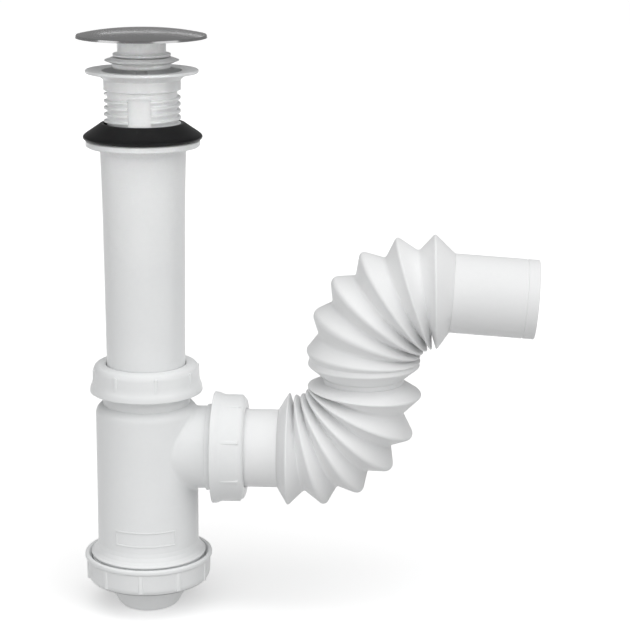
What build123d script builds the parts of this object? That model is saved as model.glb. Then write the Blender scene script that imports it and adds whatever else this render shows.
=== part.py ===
from build123d import *
import os
from math import asin, cos, degrees, radians, sin

# Bottle trap for a wash basin, with a pop-up waste and a pleated outlet pipe.
# Millimetres, +Z up, +X along the outlet. The origin is on the waste axis, at the underside
# of the basin flange, where the basin bears.

# ---- Driving dimensions -----------------------------------------------------------------

clearance = 0.15            # between a seal and the pipe that turns or slides in it
flat_gap = 0.1              # between flat faces that turn on each other

# Pop-up plug
cap_diameter = 65.0
cap_rim_height = 18.7
cap_crown = 2.9             # how far the middle of the cap stands above its rim
cap_sheet = 1.0
neck_radius = 12.0
plug_ledge_radius = 14.3
plug_skirt_radius = 14.6
plug_bottom = 2.3
lip_radius = 18.5
lip_root = 14.9             # the lip narrows from here to its point
lip_height = 6.2
stud_radius = 3.0
stud_gap = 0.3              # between the stud's flat head and the curved cap

# Push-push latch under the plug
barrel_radius = 6.5
barrel_top = -6.0
barrel_bottom = -36.0
barrel_bore = 5.2
rod_radius = 2.75
collar_top = -8.3
collar_thickness = 2.6
rotor_length = 4.0
rotor_teeth = 8
spring_wire = 0.9
spring_coils = 7

# Waste: flange, shank and threaded tail
flange_diameter = 56.0
flange_rim = 1.6
shank_radius = 19.2
shank_bore = 17.2
tail_crest = 19.0
tail_root = 17.4
tail_bore = 15.4
tail_pitch = 3.3
thread_top = -10.0
tail_bottom = -60.0
window_width = 11.2
window_top = -11.4
window_bottom = -24.6
window_turn = 3.0           # degrees that the front panel is turned towards the outlet
window_floor = 16.4         # radius of the closed floor of the overflow panels
spider_top = -5.7
spider_bottom = -9.1
spider_arms = 4
step_height = -9.2          # the shank's bore steps in here, and the spider rests on the step

# Cone gasket and inlet tube
gasket_radius = 29.75
gasket_top = -24.7
gasket_bottom = -32.9
gasket_bore = 19.2
tube_flange_radius = 28.4
tube_flange_thickness = 3.3
tube_radius = 20.0          # the sliding part; the tube thickens towards its flange
tube_wall = 1.8
tube_bottom = -240.0
tube_socket_bore = 19.3
tube_socket_bottom = -78.0

# Compression joints, one for the inlet tube and one for the outlet pipe
inlet_nut_length = 14.3
outlet_nut_length = 16.6
inlet_first_rib = 18.0       # degrees, the ribs follow at equal steps
outlet_first_rib = 23.0
nut_face_thickness = 2.4
nut_hole = 20.5
nut_radius = 27.0
nut_collar_radius = 28.8
nut_bore = 24.15
nut_ribs = 8
joint_pitch = 3.0
joint_crest = 23.9
joint_root = 22.8
ring_thickness = 1.5
seal_lip = 1.4
neck_bore = 20.6
inlet_face = -147.7         # height of the inlet nut's top face
outlet_face = 51.2          # distance of the outlet nut's face from the bottle's axis

# Bottle
bottle_radius = 26.0
bottle_wall = 2.2
shoulder_height = -173.5    # where the straight wall ends and the round shoulder starts
shoulder_round = 5.0
branch_height = -192.0
branch_radius = 21.2
saddle_fillet = 1.9
flare_top = -242.0          # the wall flares from here to the collar above the cup
skirt_root = 28.0
skirt_crest = 29.1
skirt_bore = 25.6
bottle_bottom = -260.0

# Bottom cup
cup_rim_radius = 33.0
cup_radius = 31.9
cup_bore = 29.4
cup_top = -248.6
cup_floor = -261.6
cup_edge = -263.7
boss_radius = 21.0
boss_tip_radius = 14.6
cup_bottom = -277.2
cup_ribs = 10

# Pleated outlet pipe
pipe_radius = 20.0
pipe_wall = 1.8
cuff_inner_end = 31.0
cuff_outer_end = 67.8
valley_radius = 20.4
ridge_radius = 29.2
pleat_wall = 1.5
lower_bend_radius = 38.0
upper_bend_radius = 36.6
last_pleat_lean = 4.6       # degrees that the last pleat of the lower bend leans towards the neck
pleat_turn = 16.3           # degrees from one pleat to the next in the lower bend
upper_pleat_turn = 16.7
neck_length = 9.2           # straight between the two bends
upper_turn = 93.6           # degrees
spigot_length = 42.4
spigot_mark = 6.0           # insertion mark, measured back from the spigot's end


# ---- Helpers ----------------------------------------------------------------------------

def turned(*points):
    """Turn a closed outline of (radius, height) points about the Z axis."""
    outline = make_face(Polyline(*points, close=True))
    return revolve(Plane.XZ * outline, axis=Axis.Z)


def ring(outer, inner, bottom, top):
    """Plain ring about Z."""
    return turned((inner, bottom), (outer, bottom), (outer, top), (inner, top))


def helical_ridge(root, crest, pitch, bottom, top, half_turn=False):
    """One right-hand thread ridge, its root sunk a little into the wall that carries it."""
    sink = 0.35 if crest > root else -0.35
    root_half = 0.26 * pitch
    crest_half = 0.15 * pitch
    path = Helix(pitch, top - bottom, root)
    outline = Polyline((-sink, -root_half), (crest - root, -crest_half),
                       (crest - root, crest_half), (-sink, root_half), close=True)
    section = Plane(origin=path @ 0, x_dir=(1, 0, 0), z_dir=path % 0) * make_face(outline)
    ridge = sweep(section, path=path, is_frenet=True)
    return Pos(0, 0, bottom) * Rot(0, 0, 180 if half_turn else 0) * ridge


def save(shape, name):
    """Write one piece to its own file."""
    export_step(shape, os.path.join("parts", name + ".step"))


# ---- Pop-up plug ------------------------------------------------------------------------

def make_plug_cap():
    """Thin pressed cap, slightly crowned, with a turned-down rim."""
    reach = cap_diameter / 2 - 1.0
    ball = (reach ** 2 + cap_crown ** 2) / (2 * cap_crown)
    centre = (0, cap_rim_height + cap_crown - ball)
    sweep_angle = degrees(asin(reach / ball))
    underside = cap_rim_height - 1.1
    top = CenterArc(centre, ball, 90, -sweep_angle)
    rim = ThreePointArc(top @ 1, (cap_diameter / 2, cap_rim_height - 0.8), (reach, cap_rim_height - 1.7))
    lip = Line(rim @ 1, (reach - 0.6, underside))
    sheet = make_face([top, rim, lip, Line(lip @ 1, (0, underside)), Line((0, underside), top @ 0)])
    hollow = Pos(0, 0, centre[1]) * Sphere(ball - cap_sheet)
    return revolve(Plane.XZ * sheet, axis=Axis.Z) - (hollow & Cylinder(reach - 0.8, 100))


def make_cap_stud():
    """Brass stud with a flat head that carries the cap."""
    head_top = cap_rim_height + cap_crown - cap_sheet - stud_gap
    head = Pos(0, 0, head_top - 0.6) * Cylinder(8.0, 1.2)
    shank = Pos(0, 0, head_top - 5.2) * Cylinder(stud_radius, 8.0)
    return head + shank


def make_plug_core():
    """White moulded core: neck, ledge, groove for the lip seal and a hollow skirt."""
    top = cap_rim_height + cap_crown - cap_sheet - stud_gap - 1.2
    core = turned((0, top), (neck_radius - 1.2, top), (neck_radius, top - 1.2), (neck_radius, 9.9),
                  (plug_ledge_radius, 9.5), (plug_ledge_radius, 8.3), (11.0, 8.0), (11.0, 5.9),
                  (plug_skirt_radius, 5.6), (plug_skirt_radius, plug_bottom + 1.2),
                  (plug_skirt_radius - 0.8, plug_bottom), (plug_skirt_radius - 2.0, plug_bottom),
                  (plug_skirt_radius - 2.4, 4.4), (6.0, 4.4), (6.0, 1.7), (0, 1.7))
    stud_hole = Pos(0, 0, top - 4.0) * Cylinder(stud_radius + flat_gap, 8.2)
    rod_hole = Pos(0, 0, 3.0) * Cylinder(rod_radius + flat_gap, 6.0)
    core = core - stud_hole - rod_hole
    flat = Pos(0, -neck_radius - 0.6, 13.0) * Box(5.0, 2.0, 4.0)
    return core - flat


def make_plug_lip_seal():
    """Soft seal with a pointed lip that closes the recess of the flange."""
    return turned((11.1, lip_height + 1.4), (lip_root, lip_height + 1.4),
                  (lip_radius - 0.2, lip_height + 0.15), (lip_radius, lip_height),
                  (lip_radius - 0.2, lip_height - 0.15), (lip_root, lip_height - 1.5),
                  (lip_root, lip_height - 0.2), (11.1, lip_height - 0.2))


# ---- Latch ------------------------------------------------------------------------------

def make_latch_plunger():
    """Rod fixed in the plug core, with the collar that presses the rotor down."""
    collar_bottom = collar_top - collar_thickness
    rod = Pos(0, 0, -10.2) * Cylinder(rod_radius, 31.6)
    collar = ring(barrel_bore - 0.3, 0.5, collar_bottom, collar_top)
    return rod + collar


def make_latch_rotor():
    """Cam ring with saw teeth that steps round at each press."""
    top = collar_top - collar_thickness - 1.4
    body = ring(barrel_bore - 0.3, rod_radius + 0.25, top - rotor_length, top)
    tooth_outline = Polyline((0, 0), (1.6, 0), (1.6, 1.0), close=True)
    tooth = extrude(make_face(tooth_outline), amount=1.7)
    tooth = Pos(0, -rod_radius - 0.35, top - 0.05) * Rot(90, 0, 0) * tooth
    for step in range(rotor_teeth):
        body = body + Rot(0, 0, step * 360 / rotor_teeth) * tooth
    return body


def make_latch_spring():
    """Compression spring between the rotor and the bottom of the barrel."""
    top = collar_top - collar_thickness - 1.4 - rotor_length - spring_wire / 2 - 0.15
    bottom = barrel_bottom + 2.0 + spring_wire / 2 + 0.15
    height = top - bottom
    path = Helix(height / spring_coils, height, 4.15)
    wire = Plane(origin=path @ 0, z_dir=path % 0) * Circle(spring_wire / 2)
    return Pos(0, 0, bottom) * sweep(wire, path=path, is_frenet=True)


def make_latch_barrel():
    """Housing of the latch, fixed in the hub of the waste."""
    return turned((3.15, barrel_top), (barrel_radius, barrel_top), (barrel_radius, barrel_bottom + 1.0),
                  (barrel_radius - 1.0, barrel_bottom), (3.15, barrel_bottom),
                  (3.15, barrel_bottom + 2.0), (barrel_bore, barrel_bottom + 2.0),
                  (barrel_bore, barrel_top - 2.0), (3.15, barrel_top - 2.0))


# ---- Waste ------------------------------------------------------------------------------

def make_waste_body():
    """Dished flange, plain shank and threaded tail with two closed overflow panels."""
    edge = flange_diameter / 2
    shell = turned((edge - 0.4, 0), (edge, 0.4), (edge, flange_rim - 0.4), (edge - 0.4, flange_rim),
                   (edge - 1.6, flange_rim - 0.1), (19.8, 1.2), (19.0, -1.6), (shank_bore, -3.4),
                   (shank_bore, step_height), (tail_bore, step_height), (tail_bore, tail_bottom),
                   (tail_root - 0.5, tail_bottom), (tail_root, tail_bottom + 0.5),
                   (tail_root, thread_top + 1.2), (shank_radius, thread_top + 1.8), (shank_radius, -3.2),
                   (23.0, 0))
    thread = helical_ridge(tail_root, tail_crest, tail_pitch, tail_bottom + 1.6, thread_top - 0.4)
    shell = shell + thread
    window_height = window_top - window_bottom
    window = Pos(0, 0, (window_top + window_bottom) / 2) * Box(window_width, 60, window_height)
    window = window - Cylinder(window_floor, 200)
    return shell - Rot(0, 0, window_turn) * window


def make_waste_spider():
    """Cross that stands on the step of the shank and holds the latch."""
    rim = ring(shank_bore - 0.1, tail_bore, spider_bottom, spider_top)
    hub = ring(8.6, barrel_radius + 0.05, spider_bottom, spider_top)
    arm_start = 8.0
    arm_end = tail_bore + 0.6
    arm_height = spider_top - spider_bottom
    arm = Pos((arm_start + arm_end) / 2, 0, (spider_top + spider_bottom) / 2) * Box(
        arm_end - arm_start, 2.2, arm_height)
    spider = rim + hub
    for step in range(spider_arms):
        spider = spider + Rot(0, 0, 45 + step * 360 / spider_arms) * arm
    return spider


def make_cone_gasket():
    """Black rubber gasket: a cone that enters the basin's hole, on a thick rim."""
    return turned((gasket_bore, gasket_bottom), (gasket_radius - 0.8, gasket_bottom),
                  (gasket_radius, gasket_bottom + 0.8), (gasket_radius - 0.2, gasket_bottom + 1.9),
                  (gasket_radius - 1.2, gasket_bottom + 2.8), (20.8, gasket_top),
                  (gasket_bore, gasket_top))


def make_inlet_tube():
    """Tube with a flange and a threaded socket at its top; its open end dips into the bottle."""
    top = gasket_bottom - 0.2
    under = top - tube_flange_thickness
    bore = tube_radius - tube_wall
    tube = turned((tube_socket_bore + 0.6, top), (tube_flange_radius - 0.5, top),
                  (tube_flange_radius, top - 0.5), (tube_flange_radius, under + 0.6),
                  (tube_flange_radius - 0.6, under), (22.2, under - 0.4), (21.4, under - 3.0),
                  (20.95, -54.0), (20.65, -70.0), (20.3, -105.0), (20.05, -138.0), (tube_radius, -142.0),
                  (tube_radius, tube_bottom + 0.8), (tube_radius - 0.6, tube_bottom), (bore, tube_bottom),
                  (bore, tube_socket_bottom - 3.0), (tube_socket_bore, tube_socket_bottom),
                  (tube_socket_bore, top - 0.6))
    thread = helical_ridge(tube_socket_bore, tail_root + 0.25, tail_pitch,
                           tail_bottom + 1.6 + 1.5 * tail_pitch, tail_bottom + 1.6 + 6.5 * tail_pitch)
    return tube + thread


# ---- Compression joints -----------------------------------------------------------------
# Each joint is made about Z, with the nut's face at height 0 and the bottle below it.

ring_top = -nut_face_thickness - flat_gap
seal_top = ring_top - ring_thickness - flat_gap
neck_top = seal_top - seal_lip - flat_gap
male_bottom = neck_top - 8.7
inlet_mouth_bottom = male_bottom - 8.0
outlet_mouth_bottom = male_bottom - 5.5
male_top = neck_top - 0.9


def make_nut(length, first_rib):
    """Ribbed union nut whose skirt flares to a collar at its open end."""
    nut = turned((nut_hole, 0), (nut_radius - 2.4, 0), (nut_radius - 1.1, -0.4), (nut_radius - 0.3, -1.4),
                 (nut_radius, -2.8), (nut_radius + 0.3, -length + 4.0),
                 (nut_collar_radius - 0.7, -length + 2.4), (nut_collar_radius, -length + 1.0),
                 (nut_collar_radius, -length + 0.4), (nut_collar_radius - 0.4, -length),
                 (nut_bore + 0.4, -length), (nut_bore, -length + 0.5), (nut_bore, -nut_face_thickness),
                 (nut_hole, -nut_face_thickness))
    nut = nut + helical_ridge(nut_bore, joint_root + 0.25, joint_pitch,
                              male_bottom + 0.5 * joint_pitch, male_bottom + 2.7 * joint_pitch)
    rib_bottom = -length + 3.4
    rib_top = -2.6
    rib = Pos(nut_radius, 0, (rib_bottom + rib_top) / 2) * Box(1.4, 1.8, rib_top - rib_bottom)
    for step in range(nut_ribs):
        nut = nut + Rot(0, 0, first_rib + step * 360 / nut_ribs) * rib
    return nut


def make_slip_ring():
    """Hard washer between the nut and the cone seal."""
    return ring(joint_root - 0.1, pipe_radius + 0.4, ring_top - ring_thickness, ring_top)


def make_cone_seal():
    """Rubber cone that the nut squeezes between the pipe and the mouth of the bottle."""
    bore = pipe_radius + clearance
    return turned((bore, seal_top), (joint_root - 0.3, seal_top), (joint_root - 0.3, seal_top - seal_lip),
                  (joint_root - 1.35, seal_top - seal_lip), (neck_bore - clearance, neck_top - 7.0),
                  (bore, neck_top - 7.0))


def joint_mouth(bottom):
    """Threaded mouth of the bottle, from its seat down into the wall that carries it."""
    mouth = turned((joint_root - 1.1, neck_top), (joint_root - 0.4, neck_top), (joint_root, neck_top - 0.5),
                   (joint_root, male_bottom - 1.0), (joint_root - 0.6, male_bottom - 1.8),
                   (joint_root - 0.6, bottom), (neck_bore, bottom), (neck_bore, neck_top - 7.2))
    return mouth + helical_ridge(joint_root, joint_crest, joint_pitch, male_bottom, male_top)


inlet_place = Pos(0, 0, inlet_face)
outlet_place = Pos(outlet_face, 0, branch_height) * Rot(0, 90, 0)


# ---- Bottle -----------------------------------------------------------------------------

def make_branch_saddle():
    """Wall of the bottle with its round shoulder and side branch, rounded where they meet."""
    crown = (bottle_radius - shoulder_round, shoulder_height)
    side = Line((bottle_radius, flare_top), (bottle_radius, shoulder_height))
    shoulder = CenterArc(crown, shoulder_round, 0, 90)
    top = Line(shoulder @ 1, (0, shoulder_height + shoulder_round))
    axis_line = Line(top @ 1, (0, flare_top))
    outline = make_face([side, shoulder, top, axis_line, Line((0, flare_top), side @ 0)])
    wall = revolve(Plane.XZ * outline, axis=Axis.Z)
    branch_length = outlet_face + neck_top - 11.0
    branch = Rot(0, 90, 0) * Cylinder(branch_radius, branch_length)
    joined = wall + Pos(branch_length / 2, 0, branch_height) * branch
    saddle = [edge for edge in joined.edges() if edge.geom_type not in (GeomType.CIRCLE, GeomType.LINE)]
    return fillet(saddle, saddle_fillet)


def make_bottle_body():
    """Bottle with its inlet mouth, side branch and threaded skirt for the cup."""
    inner = bottle_radius - bottle_wall
    skirt = turned((0, flare_top), (bottle_radius, flare_top), (26.5, flare_top - 2.2),
                   (27.5, flare_top - 4.2), (28.6, flare_top - 5.4), (29.6, flare_top - 6.0),
                   (29.6, flare_top - 6.6), (skirt_root, flare_top - 7.2),
                   (skirt_root, bottle_bottom + 0.5), (skirt_root - 0.5, bottle_bottom),
                   (0, bottle_bottom))
    outer = make_branch_saddle() + skirt
    outer = outer + inlet_place * joint_mouth(inlet_mouth_bottom)
    outer = outer + outlet_place * joint_mouth(outlet_mouth_bottom)
    outer = outer + helical_ridge(skirt_root, skirt_crest, joint_pitch, bottle_bottom + 1.4,
                                  bottle_bottom + 9.2)
    chamber_top = shoulder_height + shoulder_round - 1.6
    chamber = turned((0, chamber_top), (neck_bore, chamber_top), (inner, shoulder_height),
                     (inner, flare_top), (skirt_bore, flare_top - 5.4),
                     (skirt_bore, bottle_bottom - 1.0), (0, bottle_bottom - 1.0))
    inlet_hole = Pos(0, 0, inlet_face - 15.0) * Cylinder(neck_bore, 30.0 - 0.02)
    outlet_hole = Rot(0, 90, 0) * Cylinder(neck_bore, outlet_face)
    outlet_hole = Pos(outlet_face / 2 + 0.5, 0, branch_height) * outlet_hole
    outer = outer - chamber - inlet_hole - outlet_hole
    return outer - seal_room(inlet_place) - seal_room(outlet_place)


def seal_room(place):
    """Conical seat that is left free for the cone seal at one mouth."""
    return place * turned((0, neck_top + 0.5), (joint_root - 1.0, neck_top + 0.5),
                          (joint_root - 1.1, neck_top), (neck_bore, neck_top - 7.2),
                          (0, neck_top - 7.2))


def make_bottom_cup():
    """Screwed cup with a rim bead, grip ribs and a hollow pointed boss."""
    cup = turned((0, cup_bottom), (boss_tip_radius - 2.0, cup_bottom), (boss_tip_radius, cup_bottom + 0.6),
                 (boss_tip_radius + 1.4, cup_bottom + 2.0), (boss_radius, cup_edge - 2.6),
                 (boss_radius + 1.6, cup_edge - 1.0), (cup_radius - 3.2, cup_edge + 0.2),
                 (cup_radius - 1.0, cup_edge + 1.0), (cup_radius, cup_edge + 2.6),
                 (cup_radius + 0.2, cup_top - 2.8), (cup_rim_radius, cup_top - 2.2),
                 (cup_rim_radius, cup_top - 0.7), (cup_rim_radius - 0.7, cup_top),
                 (cup_rim_radius - 1.9, cup_top), (cup_bore, cup_top - 2.6), (cup_bore, cup_floor),
                 (24.0, cup_floor), (boss_radius - 1.6, cup_floor - 2.4),
                 (boss_tip_radius - 0.8, cup_bottom + 2.2), (0, cup_bottom + 2.2))
    cup = cup + helical_ridge(cup_bore, skirt_root + 0.25, joint_pitch,
                              bottle_bottom + 1.4 + 0.5 * joint_pitch, bottle_bottom + 9.2)
    rib_bottom = cup_edge + 2.2
    rib_top = cup_top - 2.6
    rib = Pos(cup_radius - 0.2, 0, (rib_bottom + rib_top) / 2) * Box(1.4, 2.4, rib_top - rib_bottom)
    for step in range(cup_ribs):
        cup = cup + Rot(0, 0, -90 + step * 360 / cup_ribs) * rib
    return cup


def make_cup_seal_ring():
    """Flat rubber ring on the floor of the cup."""
    return ring(28.8, 24.6, cup_floor + flat_gap, bottle_bottom - flat_gap)


# ---- Pleated outlet pipe ----------------------------------------------------------------

lower_start_x = 73.1
neck_x = lower_start_x + lower_bend_radius
lower_centre = (lower_start_x, branch_height + lower_bend_radius)
upper_centre = (neck_x + upper_bend_radius, lower_centre[1] + neck_length)
neck_half = 1.2
neck_middle = lower_centre[1] - 0.2


def lower_section(angle, radius, lean=0.0, bulge=2.7, growth=1.6):
    """Circle across the lower bend at a turn angle; the bend bulges a little at its middle."""
    swell = sin(radians(2 * min(max(angle, 0), 90)))
    reach = lower_bend_radius + bulge * swell
    x = lower_centre[0] + reach * sin(radians(angle))
    z = lower_centre[1] - reach * cos(radians(angle))
    along = (cos(radians(angle + lean)), 0, sin(radians(angle + lean)))
    return Plane(origin=(x, 0, z), x_dir=(0, 1, 0), z_dir=along) * Circle(radius + growth * swell)


def upper_section(angle, radius, bulge=1.3, growth=1.8):
    """Circle across the upper bend at a turn angle."""
    swell = sin(radians(2 * min(max(angle, 0), 90)))
    reach = upper_bend_radius + bulge * swell
    x = upper_centre[0] - reach * cos(radians(angle))
    z = upper_centre[1] + reach * sin(radians(angle))
    along = (sin(radians(angle)), 0, cos(radians(angle)))
    return Plane(origin=(x, 0, z), x_dir=(0, 1, 0), z_dir=along) * Circle(radius + growth * swell)


def straight_section(x, radius):
    """Circle across the horizontal run before the lower bend."""
    return Plane(origin=(x, 0, branch_height), x_dir=(0, 1, 0), z_dir=(1, 0, 0)) * Circle(radius)


def neck_section(z, radius):
    """Circle across the vertical neck between the bends."""
    return Plane(origin=(neck_x, 0, z), x_dir=(0, 1, 0), z_dir=(0, 0, 1)) * Circle(radius)


def spigot_place(distance=0.0):
    """Plane across the spigot, at a distance after the end of the upper bend."""
    turn = radians(upper_turn)
    x = upper_centre[0] - upper_bend_radius * cos(turn) + distance * sin(turn)
    z = upper_centre[1] + upper_bend_radius * sin(turn) + distance * cos(turn)
    return Plane(origin=(x, 0, z), x_dir=(0, 1, 0), z_dir=(sin(turn), 0, cos(turn)))


def make_hose_cuff():
    """Plain end of the outlet pipe that enters the branch."""
    cuff = ring(pipe_radius, pipe_radius - pipe_wall, cuff_inner_end, cuff_outer_end)
    return Pos(0, 0, branch_height) * Rot(0, 90, 0) * cuff


def lower_sections(thinning):
    """Ridge and valley circles from the cuff to the neck."""
    sections = [straight_section(cuff_outer_end, valley_radius - thinning)]
    for step in range(6):
        turn = step * pleat_turn
        lean = last_pleat_lean if step == 5 else 0.0
        sections.append(lower_section(turn, ridge_radius - thinning, lean))
        if step < 5:
            sections.append(lower_section(turn + pleat_turn / 2, valley_radius - thinning))
    sections.append(neck_section(neck_middle - neck_half, valley_radius - thinning))
    return sections


def make_lower_bellows():
    """Six pleats round the lower bend."""
    return loft(lower_sections(0.0), ruled=True) - loft(lower_sections(pleat_wall), ruled=True)


def make_hose_neck():
    """Short plain ring between the two pleated bends."""
    tube = ring(valley_radius, valley_radius - pleat_wall, neck_middle - neck_half, neck_middle + neck_half)
    return Pos(neck_x, 0, 0) * tube


def upper_sections(thinning):
    """Ridge and valley circles from the neck to the spigot; the first pleat is pressed shut."""
    sections = [neck_section(neck_middle + neck_half, valley_radius - thinning)]
    sections.append(neck_section(upper_centre[1] - 1.6, ridge_radius - 0.6 - thinning))
    sections.append(upper_section(1.6, ridge_radius - 1.8 - thinning))
    for step in range(6):
        turn = 5.0 + step * upper_pleat_turn
        sections.append(upper_section(turn, ridge_radius - thinning))
        if step < 5:
            valley_turn = turn + upper_pleat_turn / 2
            shallow = 4.8 * max(0, 1 - valley_turn / 60) ** 2
            sections.append(upper_section(valley_turn, valley_radius + shallow - thinning))
    sections.append(spigot_place(5.0) * Circle(pipe_radius - thinning))
    return sections


def make_upper_bellows():
    """Seven pleats round the upper bend."""
    return loft(upper_sections(0.0), ruled=True) - loft(upper_sections(pleat_wall), ruled=True)


def make_outlet_spigot():
    """Plain end that enters the wall pipe, with a shallow insertion mark."""
    bore = pipe_radius - pipe_wall
    mark = spigot_length - spigot_mark
    spigot = turned((bore, 0), (pipe_radius, 0), (pipe_radius, mark - 0.4),
                    (pipe_radius - 0.25, mark - 0.2), (pipe_radius - 0.25, mark + 0.2),
                    (pipe_radius, mark + 0.4), (pipe_radius, spigot_length - 0.6),
                    (pipe_radius - 0.5, spigot_length), (bore, spigot_length))
    return spigot_place(5.0) * spigot


# ---- Output -----------------------------------------------------------------------------

def main():
    """Make every piece and write it to its own file."""
    os.makedirs("parts", exist_ok=True)
    save(make_plug_cap(), "plug_cap")
    save(make_cap_stud(), "cap_stud")
    save(make_plug_core(), "plug_core")
    save(make_plug_lip_seal(), "plug_lip_seal")
    save(make_latch_plunger(), "latch_plunger")
    save(make_latch_rotor(), "latch_rotor")
    save(make_latch_spring(), "latch_spring")
    save(make_latch_barrel(), "latch_barrel")
    save(make_waste_body(), "waste_body")
    save(make_waste_spider(), "waste_spider")
    save(make_cone_gasket(), "cone_gasket")
    save(make_inlet_tube(), "inlet_tube")
    save(inlet_place * make_nut(inlet_nut_length, inlet_first_rib), "inlet_nut")
    save(inlet_place * make_slip_ring(), "inlet_slip_ring")
    save(inlet_place * make_cone_seal(), "inlet_cone_seal")
    save(make_bottle_body(), "bottle_body")
    save(make_bottom_cup(), "bottom_cup")
    save(make_cup_seal_ring(), "cup_seal_ring")
    save(outlet_place * make_nut(outlet_nut_length, outlet_first_rib), "outlet_nut")
    save(outlet_place * make_slip_ring(), "outlet_slip_ring")
    save(outlet_place * make_cone_seal(), "outlet_cone_seal")
    save(make_hose_cuff(), "hose_cuff")
    save(make_lower_bellows(), "lower_bellows")
    save(make_hose_neck(), "hose_neck")
    save(make_upper_bellows(), "upper_bellows")
    save(make_outlet_spigot(), "outlet_spigot")


main()
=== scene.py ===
import logging
import math
from dataclasses import dataclass, field
from enum import Enum

import bpy
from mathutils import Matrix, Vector


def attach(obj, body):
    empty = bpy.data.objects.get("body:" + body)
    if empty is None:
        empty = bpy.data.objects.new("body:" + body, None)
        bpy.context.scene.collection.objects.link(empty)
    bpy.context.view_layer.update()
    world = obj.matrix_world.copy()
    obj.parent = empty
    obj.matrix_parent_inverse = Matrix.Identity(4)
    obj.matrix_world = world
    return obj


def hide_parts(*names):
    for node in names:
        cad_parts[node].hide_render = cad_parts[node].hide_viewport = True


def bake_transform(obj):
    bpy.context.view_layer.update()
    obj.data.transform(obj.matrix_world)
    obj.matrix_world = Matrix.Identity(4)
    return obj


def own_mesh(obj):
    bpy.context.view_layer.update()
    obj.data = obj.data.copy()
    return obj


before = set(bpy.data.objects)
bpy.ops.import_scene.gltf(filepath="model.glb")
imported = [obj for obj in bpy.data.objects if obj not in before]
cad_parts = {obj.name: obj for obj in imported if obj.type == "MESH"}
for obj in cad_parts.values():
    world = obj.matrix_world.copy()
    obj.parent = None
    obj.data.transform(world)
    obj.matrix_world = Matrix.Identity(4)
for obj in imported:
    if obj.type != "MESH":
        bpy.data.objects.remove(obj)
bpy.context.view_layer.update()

log = logging.getLogger("bottle_trap")
logging.basicConfig(level=logging.INFO, format="%(name)s: %(message)s")

MM = 0.001
MERGE_GAP = 0.002 * MM
WIDEST_ROUNDING = 3.2
SMOOTH_ANGLE = math.radians(32)


class Slot(Enum):
    """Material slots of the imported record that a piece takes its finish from."""

    WHITE = "white_plastic"
    SOFT_WHITE = "soft_white_plastic"
    BLACK_RUBBER = "black_rubber"
    GREY_RUBBER = "grey_rubber"
    CAP_STEEL = "cap_steel"
    SPRING_STEEL = "spring_steel"
    BRASS = "stud_brass"


class Axis(Enum):
    """Direction that a turned piece stands along once it is in place."""

    UP = "up"
    OUTLET = "outlet"


# ---- Bench: the modelling steps that the pieces share -------------------------------------


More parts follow.
